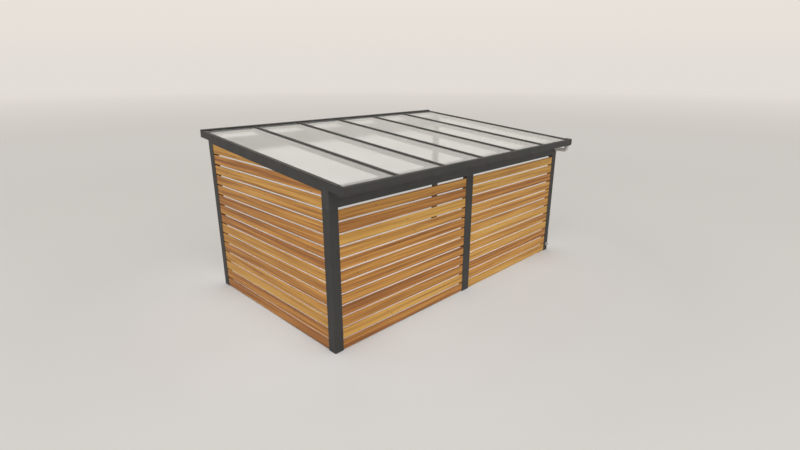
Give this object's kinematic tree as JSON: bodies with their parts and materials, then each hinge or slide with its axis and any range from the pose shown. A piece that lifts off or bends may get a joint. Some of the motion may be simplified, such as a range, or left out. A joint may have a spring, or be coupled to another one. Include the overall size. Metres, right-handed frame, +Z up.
{
  "type": "free-standing patio roof",
  "caption": "Free-standing mono-pitch patio roof: square aluminium posts and beams, sloping rafters with frosted panes, a front gutter, and slatted timber walls on two sides.",
  "frame": {"origin": "on the ground, under the middle of the roof's outline", "axes": "+X along the low gutter side to the right, +Y up the slope to the back, +Z up"},
  "size_m": [6, 4.006, 2.8708],
  "materials": {
    "frame": "anthracite powder coat, fine matt texture",
    "timber": "oiled larch with long streaky grain, each slat its own tone",
    "panes": "milky frosted laminated glass",
    "rubber": "matt black sealing rubber",
    "spacers": "black moulded plastic",
    "pipe": "light grey drain pipe plastic"
  },
  "bodies": {
    "root": {"post_front_left": "frame", "post_front_middle": "frame", "post_front_right": "frame", "post_back_left": "frame", "post_back_right": "frame", "front_beam": "frame", "back_beam": "frame", "rafter_1": "frame", "rafter_2": "frame", "rafter_3": "frame", "rafter_4": "frame", "rafter_5": "frame", "rafter_6": "frame", "rafter_7": "frame", "bed_gaskets": "rubber", "pane_1": "panes", "pane_2": "panes", "pane_3": "panes", "pane_4": "panes", "pane_5": "panes", "pane_6": "panes", "cover_cap_1": "frame", "cover_cap_2": "frame", "cover_cap_3": "frame", "cover_cap_4": "frame", "cover_cap_5": "frame", "cover_cap_6": "frame", "cover_cap_7": "frame", "gutter": "frame", "gutter_end_left": "frame", "gutter_end_right": "frame", "back_profile": "frame", "channels_front_left": "frame", "channels_front_right": "frame", "channels_side": "frame", "head_channel": "frame", "slats_front_left": "timber", "slats_front_right": "timber", "slats_side": "timber", "spacers_front_left": "spacers", "spacers_front_right": "spacers", "spacers_side": "spacers", "swan_neck": "pipe", "downpipe": "pipe", "foot_outlet": "pipe"}
  },
  "joints": []
}
